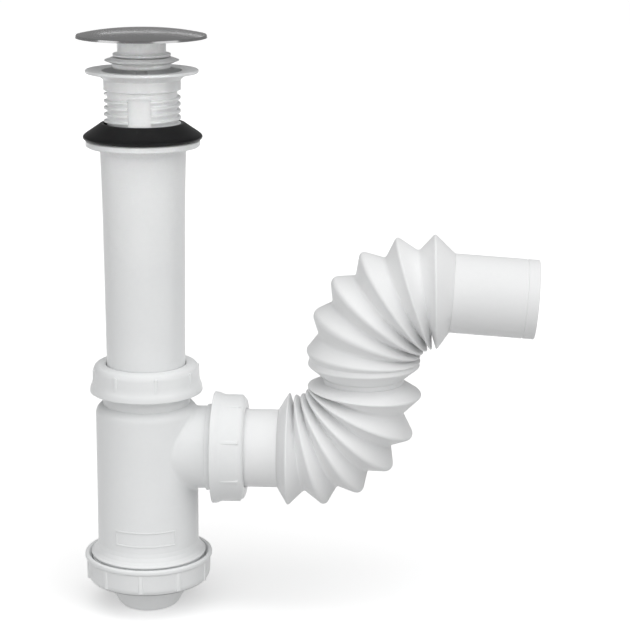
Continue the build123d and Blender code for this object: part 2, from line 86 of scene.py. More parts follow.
class Bench:
    """Modelling steps done with Blender's own operators."""

    @staticmethod
    def clear() -> None:
        """Leave edit mode and deselect everything."""
        if bpy.context.object is not None and bpy.context.object.mode != "OBJECT":
            bpy.ops.object.mode_set(mode="OBJECT")
        bpy.ops.object.select_all(action="DESELECT")

    @staticmethod
    def edit(mode: str) -> None:
        """Enter edit mode with one kind of element picked.

        Args:
            mode: VERT, EDGE or FACE.
        """
        bpy.ops.object.mode_set(mode="EDIT")
        bpy.ops.mesh.select_mode(type=mode)

    @staticmethod
    def pick_points(piece: bpy.types.Object, points: list[tuple[float, float]]) -> None:
        """Select the outline points of a piece that lie at given radii and heights.

        Args:
            piece: object in edit mode whose mesh is an outline in the XZ plane.
            points: (radius, height) pairs, in mm.
        """
        bpy.ops.mesh.select_all(action="DESELECT")
        bpy.ops.object.mode_set(mode="OBJECT")
        for vertex in piece.data.vertices:
            vertex.select = any(
                abs(vertex.co.x - r * MM) < MERGE_GAP and abs(vertex.co.z - z * MM) < MERGE_GAP
                for r, z in points)
        bpy.ops.object.mode_set(mode="EDIT")

    @staticmethod
    def close_up() -> None:
        """Merge doubles and turn the normals of the whole mesh outwards, then leave edit mode."""
        bpy.ops.mesh.select_all(action="SELECT")
        bpy.ops.mesh.remove_doubles(threshold=MERGE_GAP)
        bpy.ops.mesh.normals_make_consistent(inside=False)
        bpy.ops.object.mode_set(mode="OBJECT")

    @staticmethod
    def outline(name: str, points: list[tuple[float, float]], closed: bool) -> bpy.types.Object:
        """Draw an outline in the XZ plane by extruding one point from corner to corner.

        Args:
            name: name of the piece.
            points: (radius, height) corners, in mm.
            closed: whether the last corner joins the first.

        Returns:
            The new object, in edit mode.
        """
        Bench.clear()
        bpy.ops.mesh.primitive_plane_add(size=MM, location=(0, 0, 0))
        piece = bpy.context.object
        piece.name = piece.data.name = name
        Bench.edit("VERT")
        bpy.ops.mesh.select_all(action="SELECT")
        bpy.ops.mesh.merge(type="CENTER")
        here = Vector((0, 0, 0))
        for number, (radius, height) in enumerate(points):
            target = Vector((radius * MM, 0, height * MM))
            if number == 0:
                bpy.ops.transform.translate(value=target - here)
            else:
                bpy.ops.mesh.extrude_region_move(TRANSFORM_OT_translate={"value": target - here})
            here = target
        if closed:
            Bench.pick_points(piece, [points[0], points[-1]])
            bpy.ops.mesh.edge_face_add()
        return piece

    @staticmethod
    def turn(name: str, points: list[tuple[float, float]], rounding: dict[float, list[int]],
             closed: bool = True, steps: int = 120) -> bpy.types.Object:
        """Turn an outline about the Z axis, with its corners rounded first.

        Args:
            name: name of the piece.
            points: (radius, height) corners, in mm.
            rounding: for each rounding width, in mm, the numbers of the corners it is for.
            closed: whether the outline is a loop; an open one starts and ends on the axis.
            steps: divisions round the axis.

        Returns:
            The turned object, in object mode.
        """
        piece = Bench.outline(name, points, closed)
        for width, corners in rounding.items():
            Bench.pick_points(piece, [points[c] for c in corners])
            bpy.ops.mesh.bevel(offset=width * MM, segments=4, affect="VERTICES")
        bpy.ops.mesh.select_all(action="SELECT")
        bpy.ops.mesh.spin(steps=steps, angle=2 * math.pi, center=(0, 0, 0), axis=(0, 0, 1))
        Bench.close_up()
        return piece

    @staticmethod
    def grip_rib(name: str, radius: float, bottom: float, top: float, width: float, depth: float,
                 angle: float) -> bpy.types.Object:
        """Make one rounded grip rib that stands on a turned wall.

        Args:
            name: name of the rib.
            radius: distance of the rib's middle from the axis, in mm.
            bottom: height of its lower end, in mm.
            top: height of its upper end, in mm.
            width: size round the wall, in mm.
            depth: size away from the axis, in mm.
            angle: where it stands round the axis, in degrees.

        Returns:
            The rib as its own object.
        """
        Bench.clear()
        bpy.ops.mesh.primitive_cube_add(size=1, location=(radius * MM, 0, (bottom + top) / 2 * MM))
        rib = bpy.context.object
        rib.name = name
        rib.scale = (depth * MM, width * MM, (top - bottom) * MM)
        bpy.ops.object.transform_apply(location=True, rotation=True, scale=True)
        Bench.edit("EDGE")
        bpy.ops.mesh.select_all(action="SELECT")
        bpy.ops.mesh.bevel(offset=0.55 * MM, segments=4, affect="EDGES")
        bpy.ops.object.mode_set(mode="OBJECT")
        rib.rotation_euler = (0, 0, math.radians(angle))
        bpy.ops.object.transform_apply(location=True, rotation=True, scale=True)
        return rib

    @staticmethod
    def weld_on(piece: bpy.types.Object, additions: list[bpy.types.Object]) -> None:
        """Unite small solids with a piece, then delete them.

        Args:
            piece: the object that grows.
            additions: solids that overlap it.
        """
        Bench.clear()
        for addition in additions:
            addition.select_set(True)
        bpy.context.view_layer.objects.active = additions[0]
        bpy.ops.object.join()
        tool = bpy.context.object
        Bench.clear()
        piece.select_set(True)
        bpy.context.view_layer.objects.active = piece
        union = piece.modifiers.new("weld", "BOOLEAN")
        union.operation = "UNION"
        union.solver = "EXACT"
        union.object = tool
        bpy.ops.object.modifier_apply(modifier=union.name)
        bpy.data.objects.remove(tool)

    @staticmethod
    def place(piece: bpy.types.Object, origin: tuple[float, float, float], axis: Axis,
              lean: float = 0.0) -> None:
        """Move a finished piece to its seat and apply that to its mesh.

        Args:
            piece: the object to seat.
            origin: where its own origin goes, in mm.
            axis: the direction its own Z axis takes.
            lean: further turn about Y, in degrees.
        """
        Bench.clear()
        piece.select_set(True)
        bpy.context.view_layer.objects.active = piece
        quarter = math.pi / 2 if axis is Axis.OUTLET else 0.0
        piece.rotation_euler = (0, quarter + math.radians(lean), 0)
        piece.location = [c * MM for c in origin]
        bpy.ops.object.transform_apply(location=True, rotation=True, scale=True)

    @staticmethod
    def smooth(piece: bpy.types.Object, angle: float = SMOOTH_ANGLE) -> None:
        """Shade a piece smooth wherever two faces meet at less than an angle."""
        Bench.clear()
        piece.select_set(True)
        bpy.context.view_layer.objects.active = piece
        bpy.ops.object.shade_smooth_by_angle(angle=angle)


# ---- Effects that more than one finish uses -----------------------------------------------


class Effects:
    """Shader node groups, each built once and placed in many materials."""

    built: dict[str, bpy.types.NodeTree] = {}

    @classmethod
    def start(cls, name: str, inputs: list[tuple[str, str]],
              outputs: list[tuple[str, str]]) -> tuple[bpy.types.NodeTree, bpy.types.Node, bpy.types.Node]:
        """Make an empty group with named sockets.

        Args:
            name: name of the group.
            inputs: (name, kind) of each input.
            outputs: (name, kind) of each output.

        Returns:
            The group, its input node and its output node.
        """
        group = bpy.data.node_groups.new(name, "ShaderNodeTree")
        for title, kind in inputs:
            group.interface.new_socket(title, in_out="INPUT", socket_type="NodeSocket" + kind)
        for title, kind in outputs:
            group.interface.new_socket(title, in_out="OUTPUT", socket_type="NodeSocket" + kind)
        cls.built[name] = group
        return group, group.nodes.new("NodeGroupInput"), group.nodes.new("NodeGroupOutput")

    @staticmethod
    def noise(tree: bpy.types.NodeTree, source: bpy.types.NodeSocket, scale: float,
              detail: float) -> bpy.types.NodeSocket:
        """Add a noise pattern and return its value socket."""
        node = tree.nodes.new("ShaderNodeTexNoise")
        node.inputs["Scale"].default_value = scale
        node.inputs["Detail"].default_value = detail
        tree.links.new(source, node.inputs["Vector"])
        return node.outputs["Fac"]

    @staticmethod
    def math(tree: bpy.types.NodeTree, operation: str, first: bpy.types.NodeSocket | float,
             second: bpy.types.NodeSocket | float = 0.0,
             third: bpy.types.NodeSocket | float = 0.0) -> bpy.types.NodeSocket:
        """Add a Math node fed by sockets or numbers and return its output."""
        node = tree.nodes.new("ShaderNodeMath")
        node.operation = operation
        for slot, value in zip(node.inputs, (first, second, third)):
            if isinstance(value, (int, float)):
                slot.default_value = value
            else:
                tree.links.new(value, slot)
        return node.outputs[0]

    @staticmethod
    def mix(tree: bpy.types.NodeTree, factor: bpy.types.NodeSocket, first: bpy.types.NodeSocket,
            second: bpy.types.NodeSocket) -> bpy.types.NodeSocket:
        """Add a colour mix and return its output."""
        node = tree.nodes.new("ShaderNodeMix")
        node.data_type = "RGBA"
        for slot, value in ((0, factor), (6, first), (7, second)):
            tree.links.new(value, node.inputs[slot])
        return node.outputs[2]

    @classmethod
    def cloudiness(cls) -> bpy.types.NodeTree:
        """Slow drift of tone and gloss that moulded plastic and rubber have.

        Returns:
            A group that gives a colour and a roughness.
        """
        if "cloudiness" in cls.built:
            return cls.built["cloudiness"]
        group, start, end = cls.start(
            "cloudiness",
            [("Place", "Vector"), ("Light tone", "Color"), ("Deep tone", "Color"),
             ("Gloss", "Float"), ("Drift", "Float")],
            [("Colour", "Color"), ("Roughness", "Float")])
        broad = cls.noise(group, start.outputs["Place"], 45.0, 3.0)
        fine = cls.noise(group, start.outputs["Place"], 420.0, 2.0)
        blend = cls.math(group, "MULTIPLY_ADD", fine, 0.35, cls.math(group, "MULTIPLY", broad, 0.65))
        colour = cls.mix(group, blend, start.outputs["Light tone"], start.outputs["Deep tone"])
        swing = cls.math(group, "MULTIPLY", cls.math(group, "SUBTRACT", blend, 0.5), start.outputs["Drift"])
        rough = cls.math(group, "ADD", start.outputs["Gloss"], swing)
        group.links.new(colour, end.inputs["Colour"])
        group.links.new(rough, end.inputs["Roughness"])
        return group

    @classmethod
    def mould_skin(cls) -> bpy.types.NodeTree:
        """Fine skin of a moulded wall: faint ripples and tiny pits.

        Returns:
            A group that gives a height, in metres.
        """
        if "mould_skin" in cls.built:
            return cls.built["mould_skin"]
        group, start, end = cls.start(
            "mould_skin",
            [("Place", "Vector"), ("Ripple", "Float"), ("Pits", "Float"), ("Pit size", "Float")],
            [("Height", "Float")])
        ripple = cls.math(group, "MULTIPLY", cls.noise(group, start.outputs["Place"], 130.0, 2.0),
                          start.outputs["Ripple"])
        node = group.nodes.new("ShaderNodeTexNoise")
        node.inputs["Detail"].default_value = 2.0
        group.links.new(start.outputs["Place"], node.inputs["Vector"])
        group.links.new(start.outputs["Pit size"], node.inputs["Scale"])
        pits = cls.math(group, "MULTIPLY", node.outputs["Fac"], start.outputs["Pits"])
        group.links.new(cls.math(group, "ADD", ripple, pits), end.inputs["Height"])
        return group

    @classmethod
    def settled_dust(cls) -> bpy.types.NodeTree:
        """Thin patchy dust on faces that look up.

        Returns:
            A group that gives a mask and a dusted colour.
        """
        if "settled_dust" in cls.built:
            return cls.built["settled_dust"]
        group, start, end = cls.start(
            "settled_dust",
            [("Place", "Vector"), ("Clean", "Color"), ("Dust", "Color"), ("Amount", "Float")],
            [("Colour", "Color"), ("Mask", "Float")])
        geometry = group.nodes.new("ShaderNodeNewGeometry")
        split = group.nodes.new("ShaderNodeSeparateXYZ")
        group.links.new(geometry.outputs["Normal"], split.inputs[0])
        upward = cls.math(group, "SMOOTH_MAX", split.outputs["Z"], 0.0, 0.1)
        patches = cls.noise(group, start.outputs["Place"], 160.0, 6.0)
        mask = cls.math(group, "MULTIPLY", cls.math(group, "MULTIPLY", upward, patches),
                        start.outputs["Amount"])
        colour = cls.mix(group, mask, start.outputs["Clean"], start.outputs["Dust"])
        group.links.new(colour, end.inputs["Colour"])
        group.links.new(mask, end.inputs["Mask"])
        return group

    @classmethod
    def turning_marks(cls) -> bpy.types.NodeTree:
        """Fine rings that polishing on a lathe leaves round the Z axis.

        Returns:
            A group that gives a height, in metres, and a streak mask.
        """
        if "turning_marks" in cls.built:
            return cls.built["turning_marks"]
        group, start, end = cls.start(
            "turning_marks", [("Place", "Vector"), ("Rings", "Float"), ("Depth", "Float")],
            [("Height", "Float"), ("Streaks", "Float")])
        split = group.nodes.new("ShaderNodeSeparateXYZ")
        group.links.new(start.outputs["Place"], split.inputs[0])
        squares = cls.math(group, "ADD", cls.math(group, "POWER", split.outputs["X"], 2.0),
                           cls.math(group, "POWER", split.outputs["Y"], 2.0))
        radius = cls.math(group, "SQRT", squares)
        line = group.nodes.new("ShaderNodeCombineXYZ")
        group.links.new(cls.math(group, "MULTIPLY", radius, start.outputs["Rings"]), line.inputs[0])
        streaks = cls.noise(group, line.outputs[0], 1.0, 4.0)
        group.links.new(cls.math(group, "MULTIPLY", streaks, start.outputs["Depth"]), end.inputs["Height"])
        group.links.new(streaks, end.inputs["Streaks"])
        return group


# ---- Finishes -----------------------------------------------------------------------------


@dataclass(frozen=True)
class Finish:
    """What every finish has: a name, its slot and how much its sharp edges are softened."""

    name: str
    slot: Slot
    soft_edge: float = 0.35

    def begin(self) -> tuple[bpy.types.Material, bpy.types.Node, bpy.types.NodeSocket]:
        """Make an empty material.

        Returns:
            The material, its Principled shader and the socket of its object coordinates.
        """
        material = bpy.data.materials.new(self.name)
        material.use_nodes = True
        shader = material.node_tree.nodes["Principled BSDF"]
        place = material.node_tree.nodes.new("ShaderNodeTexCoord")
        return material, shader, place.outputs["Object"]

    @staticmethod
    def group(material: bpy.types.Material, tree: bpy.types.NodeTree,
              values: dict[str, object]) -> bpy.types.Node:
        """Place a group and set its inputs from numbers, colours or sockets.

        Args:
            material: the material that gets the group.
            tree: the group.
            values: input name to number, colour or socket.

        Returns:
            The group's node.
        """
        node = material.node_tree.nodes.new("ShaderNodeGroup")
        node.node_tree = tree
        for title, value in values.items():
            if isinstance(value, bpy.types.NodeSocket):
                material.node_tree.links.new(value, node.inputs[title])
            else:
                node.inputs[title].default_value = value
        return node

    def relief(self, material: bpy.types.Material, shader: bpy.types.Node,
               height: bpy.types.NodeSocket, strength: float) -> None:
        """Feed a height to the shader's normal, over softened edges.

        Args:
            material: the material.
            shader: its Principled shader.
            height: height socket, in metres.
            strength: how strongly the height shows.
        """
        nodes = material.node_tree.nodes
        links = material.node_tree.links
        bump = nodes.new("ShaderNodeBump")
        bump.inputs["Strength"].default_value = strength
        bump.inputs["Distance"].default_value = 1.0
        links.new(height, bump.inputs["Height"])
        if self.soft_edge > 0:
            edge = nodes.new("ShaderNodeBevel")
            edge.samples = 6
            edge.inputs["Radius"].default_value = self.soft_edge * MM
            links.new(edge.outputs[0], bump.inputs["Normal"])
        links.new(bump.outputs[0], shader.inputs["Normal"])


def colour(level: tuple[float, float, float]) -> tuple[float, float, float, float]:
    """Add full opacity to a colour."""
    return (*level, 1.0)


@dataclass(frozen=True)
class Moulded(Finish):
    """What plastic and rubber share: cloudy tone, moulding skin and a little dust."""

    light: tuple[float, float, float] = (0.86, 0.87, 0.87)
    deep: tuple[float, float, float] = (0.80, 0.81, 0.815)
    gloss: float = 0.34
    drift: float = 0.10
    ripple: float = 1.2e-5
    pits: float = 1.5e-6
    pit_size: float = 2600.0
    dust_tone: tuple[float, float, float] = (0.70, 0.69, 0.67)
    dust_amount: float = 0.05

    def moulded(self) -> tuple[bpy.types.Material, bpy.types.Node]:
        """Build a material with the shared surface.

        Returns:
            The material and its Principled shader.
        """
        material, shader, place = self.begin()
        links = material.node_tree.links
        tone = self.group(material, Effects.cloudiness(), {
            "Place": place, "Light tone": colour(self.light), "Deep tone": colour(self.deep),
            "Gloss": self.gloss, "Drift": self.drift})
        dust = self.group(material, Effects.settled_dust(), {
            "Place": place, "Clean": tone.outputs["Colour"], "Dust": colour(self.dust_tone),
            "Amount": self.dust_amount})
        skin = self.group(material, Effects.mould_skin(), {
            "Place": place, "Ripple": self.ripple, "Pits": self.pits, "Pit size": self.pit_size})
        links.new(dust.outputs["Colour"], shader.inputs["Base Color"])
        links.new(tone.outputs["Roughness"], shader.inputs["Roughness"])
        self.relief(material, shader, skin.outputs["Height"], 1.0)
        return material, shader


@dataclass(frozen=True)
class MouldedPlastic(Moulded):
    """White polypropylene, satin where injection moulded and duller where blown."""

    glow: float = 0.12

    def material(self) -> bpy.types.Material:
        """Build the material."""
        material, shader = self.moulded()
        shader.inputs["IOR"].default_value = 1.49
        shader.inputs["Subsurface Weight"].default_value = self.glow
        shader.inputs["Subsurface Radius"].default_value = (1.0, 1.0, 1.0)
        shader.inputs["Subsurface Scale"].default_value = 1.2 * MM
        return material


@dataclass(frozen=True)
class Rubber(Moulded):
    """Moulded rubber with a dull bloom."""

    light: tuple[float, float, float] = (0.006, 0.006, 0.0065)
    deep: tuple[float, float, float] = (0.010, 0.010, 0.0105)
    gloss: float = 0.36
    drift: float = 0.22
    ripple: float = 2.0e-5
    pits: float = 8.0e-6
    pit_size: float = 1900.0
    dust_tone: tuple[float, float, float] = (0.12, 0.12, 0.12)
    dust_amount: float = 0.06
    sheen: float = 0.14

    def material(self) -> bpy.types.Material:
        """Build the material."""
        material, shader = self.moulded()
        shader.inputs["Specular IOR Level"].default_value = self.sheen
        return material


@dataclass(frozen=True)
class PolishedMetal(Finish):
    """Turned or drawn metal with fine rings and a slightly uneven polish."""

    tint: tuple[float, float, float] = (0.60, 0.60, 0.605)
    shade: tuple[float, float, float] = (0.50, 0.50, 0.505)
    gloss: float = 0.13
    rings: float = 2600.0
    depth: float = 2.0e-7

    def material(self) -> bpy.types.Material:
        """Build the material."""
        material, shader, place = self.begin()
        links = material.node_tree.links
        marks = self.group(material, Effects.turning_marks(), {
            "Place": place, "Rings": self.rings, "Depth": self.depth})
        tone = self.group(material, Effects.cloudiness(), {
            "Place": place, "Light tone": colour(self.tint), "Deep tone": colour(self.shade),
            "Gloss": self.gloss, "Drift": 0.08})
        streaked = Effects.math(material.node_tree, "MULTIPLY_ADD", marks.outputs["Streaks"], 0.08,
                                tone.outputs["Roughness"])
        links.new(tone.outputs["Colour"], shader.inputs["Base Color"])
        links.new(streaked, shader.inputs["Roughness"])
        self.relief(material, shader, marks.outputs["Height"], 1.0)
        shader.inputs["Metallic"].default_value = 1.0
        return material


@dataclass
class FinishSet:
    """Every finish of the trap, each made once."""

    finishes: tuple[Finish, ...] = (
        MouldedPlastic("satin_white_plastic", Slot.WHITE),
        MouldedPlastic("blown_white_plastic", Slot.SOFT_WHITE, light=(0.87, 0.875, 0.875),
                       deep=(0.82, 0.825, 0.83), gloss=0.46, ripple=2.2e-5, pits=3.0e-6, glow=0.18),
        Rubber("black_seal_rubber", Slot.BLACK_RUBBER),
        Rubber("grey_seal_rubber", Slot.GREY_RUBBER, light=(0.26, 0.26, 0.27), deep=(0.32, 0.32, 0.33),
               gloss=0.55),
        PolishedMetal("polished_cap_steel", Slot.CAP_STEEL, soft_edge=0.0),
        PolishedMetal("spring_wire_steel", Slot.SPRING_STEEL, tint=(0.55, 0.56, 0.58),
                      shade=(0.46, 0.47, 0.49), gloss=0.28, soft_edge=0.0),
        PolishedMetal("turned_brass", Slot.BRASS, tint=(0.70, 0.52, 0.25), shade=(0.60, 0.43, 0.19),
                      gloss=0.25),
    )
    made: dict[Slot, bpy.types.Material] = field(default_factory=dict)

    def build(self) -> None:
        """Make all materials."""
        for finish in self.finishes:
            self.made[finish.slot] = finish.material()

    def dress(self, piece: bpy.types.Object, slot: Slot) -> None:
        """Give a piece the finish of a slot.

        Args:
            piece: new piece or carried-over CAD node.
            slot: the finish it takes.
        """
        piece.data.materials.clear()
        piece.data.materials.append(self.made[slot])


# ---- Sub-assemblies -----------------------------------------------------------------------


@dataclass
class SubAssembly:
    """One group of pieces that ride on named bodies."""

    finishes: FinishSet

    def finish_piece(self, piece: bpy.types.Object, body: str, slot: Slot, *nodes: str) -> None:
        """Shade, dress and attach a new piece.

        Args:
            piece: the finished mesh object.
            body: CAD body that it rides on.
            slot: its finish.
            nodes: CAD nodes that it stands for.
        """
        Bench.smooth(piece)
        self.finishes.dress(piece, slot)
        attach(piece, body)
        if nodes:
            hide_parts(*nodes)
        log.info("%s rides on %s", piece.name, body)


@dataclass
class PopUpPlug(SubAssembly):
    """Steel cap, white core and lip seal of the pop-up waste."""

    cap_radius: float = 32.5
    cap_rim: float = 18.7
    cap_crown: float = 2.9
    cap_sheet: float = 0.9
    neck_radius: float = 12.0
    core_top: float = 19.1
    core_bottom: float = 1.7
    ledge_radius: float = 14.3
    ledge_top: float = 9.5
    ledge_bottom: float = 8.3
    groove_radius: float = 11.0
    skirt_radius: float = 14.6
    skirt_top: float = 5.6
    skirt_bottom: float = 2.3
    recess_radius: float = 6.0
    recess_top: float = 4.4
    bore: float = 3.12
    lip_bore: float = 11.1
    lip_radius: float = 18.5
    lip_root: float = 14.9
    lip_height: float = 6.2

    def dome(self, radius: float, drop: float) -> tuple[float, float]:
        """Point on the cap's crown, or on its underside a drop below, in mm."""
        share = min(radius / (self.cap_radius - 1.0), 1.0)
        return radius, self.cap_rim + self.cap_crown * (1 - share ** 2.4) - drop

    def build_cap(self) -> None:
        """Pressed cap: flat crown that curves down to a rolled, slightly conical rim."""
        radii = [2.0 * k for k in range(15)] + [29.4, 30.6]
        top = [self.dome(r, 0.0) for r in radii]
        edge = [(-1.0, 0.0), (-0.6, -0.08), (-0.45, -0.25), (-0.36, -0.45), (-0.08, -1.42), (-0.12, -1.5),
                (-0.3, -1.54), (-0.7, -1.56), (-1.2, -1.5), (-1.6, -1.3)]
        rim = [(self.cap_radius + step, self.cap_rim + rise) for step, rise in edge]
        under = [self.dome(r, self.cap_sheet) for r in reversed(radii[:-1])]
        cap = Bench.turn("plug_cap_steel", top + rim + under, {}, closed=False, steps=160)
        self.finish_piece(cap, "plug", Slot.CAP_STEEL, "plug_cap")

    def build_core(self) -> None:
        """White core: neck, ledge, groove and rounded skirt."""
        points = [(self.bore, self.core_top), (self.neck_radius, self.core_top),
                  (self.neck_radius, self.ledge_top + 0.4), (self.ledge_radius, self.ledge_top),
                  (self.ledge_radius, self.ledge_bottom), (self.groove_radius, self.ledge_bottom - 0.3),
                  (self.groove_radius, self.skirt_top + 0.3), (self.skirt_radius, self.skirt_top),
                  (self.skirt_radius, self.skirt_bottom), (self.skirt_radius - 2.0, self.skirt_bottom),
                  (self.skirt_radius - 2.4, self.recess_top), (self.recess_radius, self.recess_top),
                  (self.recess_radius, self.core_bottom), (self.bore, self.core_bottom)]
        core = Bench.turn("plug_core_moulding", points, {
            0.9: [1, 8], 0.35: [3, 4, 7], 0.5: [2, 9, 12]})
        self.finish_piece(core, "plug", Slot.WHITE, "plug_core")

    def build_lip_seal(self) -> None:
        """Soft seal below the ledge, narrowing to a pointed lip."""
        base = self.lip_height
        points = [(self.lip_bore, base + 1.4), (self.lip_root, base + 1.4),
                  (self.lip_radius - 0.2, base + 0.15),
                  (self.lip_radius, base), (self.lip_radius - 0.2, base - 0.15),
                  (self.lip_root, base - 1.5), (self.lip_root, base - 0.2), (self.lip_bore, base - 0.2)]
        seal = Bench.turn("plug_lip_seal_soft", points, {0.4: [1, 5], 0.1: [2, 3, 4]})
        self.finish_piece(seal, "plug", Slot.SOFT_WHITE, "plug_lip_seal")

    def build(self) -> None:
        """Make the three pieces."""
        self.build_cap()
        self.build_core()
        self.build_lip_seal()


@dataclass
class LatchSpring(SubAssembly):
    """Compression spring under the latch's rotor; the real one flattens as the plug is pressed, this one
    keeps one length.
    """

    radius: float = 4.15
    wire: float = 0.9
    coils: int = 7
    bottom: float = -33.85
    top: float = -16.45
    pressed_top: float = -23.95

    def build(self) -> None:
        """Wind a round wire into a helix and close its ends."""
        Bench.clear()
        rise = self.top - self.bottom - self.wire
        start = (self.radius * MM, 0, (self.bottom + self.wire / 2) * MM)
        bpy.ops.mesh.primitive_circle_add(vertices=16, radius=self.wire / 2 * MM, location=start,
                                          rotation=(math.pi / 2, 0, 0))
        spring = bpy.context.object
        spring.name = spring.data.name = "return_spring"
        bpy.ops.object.transform_apply(location=True, rotation=True, scale=True)
        winding = spring.modifiers.new("winding", "SCREW")
        winding.angle = 2 * math.pi * self.coils
        winding.screw_offset = rise * MM
        winding.steps = winding.render_steps = 32 * self.coils
        bpy.ops.object.modifier_apply(modifier=winding.name)
        Bench.edit("EDGE")
        bpy.ops.mesh.select_all(action="SELECT")
        bpy.ops.mesh.fill_holes(sides=0)
        Bench.close_up()
        self.finish_piece(spring, "waste", Slot.SPRING_STEEL, "latch_spring")
        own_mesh(spring)


@dataclass
class BasinSeal(SubAssembly):
    """Black cone gasket under the basin."""

    bore: float = 19.2
    top: float = -24.7
    bottom: float = -32.9
    radius: float = 29.75
    hollow_radius: float = 24.4
    cone_top_radius: float = 20.8

    def build(self) -> None:
        """Turn the gasket with soft corners and a slightly hollow cone."""
        points = [(self.bore, self.bottom), (self.radius - 0.9, self.bottom),
                  (self.radius, self.bottom + 0.9), (self.radius - 0.15, self.bottom + 1.9),
                  (self.radius - 1.3, self.bottom + 2.95), (self.hollow_radius, self.top - 2.55),
                  (self.cone_top_radius, self.top), (self.bore, self.top)]
        gasket = Bench.turn("cone_gasket_rubber", points, {
            0.5: [1, 2, 3], 0.7: [4], 2.4: [5], 0.35: [6, 7, 0]})
        self.finish_piece(gasket, "gasket", Slot.BLACK_RUBBER, "cone_gasket")


@dataclass
class UnionNut(SubAssembly):
    """Ribbed union nut with a flared collar and rounded ribs."""

    inlet_length: float = 14.3
    outlet_length: float = 16.6
    face: float = 2.4
    hole: float = 20.5
    radius: float = 27.0
    collar: float = 28.8
    bore: float = 24.15
    crest: float = 23.1
    pitch: float = 3.0
    ribs: int = 8
    inlet_first_rib: float = 18.0
    outlet_first_rib: float = 23.0
    rib_width: float = 2.0
    rib_depth: float = 1.7
    inlet_seat: tuple[float, float, float] = (0, 0, -147.7)
    outlet_seat: tuple[float, float, float] = (51.2, 0, -192.0)

    def outline_points(self, length: float) -> list[tuple[float, float]]:
        """Outline of a nut in its own frame, outer face at zero.

        Args:
            length: length of the nut, in mm.

        Returns:
            (radius, height) corners, in mm.
        """
        end = -length
        inside = [(self.bore, end + 0.7)]
        for turn in range(3):
            middle = end + 3.2 + turn * self.pitch
            inside += [(self.bore, middle - 0.8), (self.crest, middle - 0.35), (self.crest, middle + 0.35),
                       (self.bore, middle + 0.8)]
        return [(self.hole, 0.0), (self.radius - 1.7, 0.0), (self.radius, -2.3),
                (self.radius + 0.3, end + 5.2), (self.collar - 0.3, end + 2.6), (self.collar, end),
                (self.bore + 0.6, end), *inside, (self.bore, -self.face), (self.hole, -self.face)]

    def build_one(self, name: str, length: float, first_rib: float,
                  origin: tuple[float, float, float], axis: Axis, node: str) -> None:
        """Make one nut and seat it.

        Args:
            name: name of the piece.
            length: its length, in mm.
            first_rib: where its first rib stands, in degrees.
            origin: middle of its outer face, in mm.
            axis: direction from its open end to its outer face.
            node: CAD node that it replaces, which is also the name of its body.
        """
        nut = Bench.turn(name, self.outline_points(length), {
            1.3: [1, 2], 1.6: [3], 0.9: [4], 0.45: [5], 0.4: [6, 0]}, steps=144)
        low, high = 3.3 - length, -2.0
        ribs = [Bench.grip_rib(f"{name}_rib", self.radius - 0.35, low, high, self.rib_width,
                               self.rib_depth, first_rib + step * 360 / self.ribs)
                for step in range(self.ribs)]
        Bench.weld_on(nut, ribs)
        Bench.place(nut, origin, axis)
        self.finish_piece(nut, node, Slot.WHITE, node)

    def build(self) -> None:
        """Make the inlet nut and the outlet nut."""
        self.build_one("inlet_union_nut", self.inlet_length, self.inlet_first_rib,
                       self.inlet_seat, Axis.UP, "inlet_nut")
        self.build_one("outlet_union_nut", self.outlet_length, self.outlet_first_rib,
                       self.outlet_seat, Axis.OUTLET, "outlet_nut")


@dataclass
class BottleDetails(SubAssembly):
    """Blank raised frame on the front of the bottle."""

    wall_radius: float = 26.05
    bottom: float = -238.6
    height: float = 8.2
    from_angle: float = -124.0
    to_angle: float = -50.0
    band: float = 0.9
    thickness: float = 0.5
    edge: float = 0.16

    def build(self) -> None:
        """Cut a panel from a cylinder wall, inset it, open its middle and give it thickness."""
        Bench.clear()
        bpy.ops.mesh.primitive_circle_add(vertices=144, radius=self.wall_radius * MM,
                                          location=(0, 0, self.bottom * MM))
        frame_piece = bpy.context.object
        frame_piece.name = frame_piece.data.name = "bottle_blank_frame"
        bpy.ops.object.transform_apply(location=True, rotation=True, scale=True)
        Bench.edit("VERT")
        bpy.ops.mesh.select_all(action="DESELECT")
        bpy.ops.object.mode_set(mode="OBJECT")
        for vertex in frame_piece.data.vertices:
            angle = math.degrees(math.atan2(vertex.co.y, vertex.co.x))
            vertex.select = not self.from_angle <= angle <= self.to_angle
        Bench.edit("VERT")
        bpy.ops.mesh.delete(type="VERT")
        bpy.ops.mesh.select_all(action="SELECT")
        bpy.ops.mesh.extrude_region_move(TRANSFORM_OT_translate={"value": (0, 0, self.height * MM)})
        bpy.ops.mesh.select_mode(type="FACE")
        bpy.ops.mesh.select_all(action="SELECT")
        bpy.ops.mesh.inset(thickness=self.band * MM, depth=0.0, use_boundary=True)
        bpy.ops.mesh.delete(type="FACE")
        Bench.close_up()
        wall = frame_piece.modifiers.new("wall", "SOLIDIFY")
        wall.thickness = self.thickness * MM
        wall.offset = 0.0
        bpy.ops.object.modifier_apply(modifier=wall.name)
        soften = frame_piece.modifiers.new("soften", "BEVEL")
        soften.width = self.edge * MM
        soften.segments = 2
        soften.limit_method = "ANGLE"
        bpy.ops.object.modifier_apply(modifier=soften.name)
        Bench.edit("FACE")
        Bench.close_up()
        self.finish_piece(frame_piece, "bottle", Slot.WHITE)


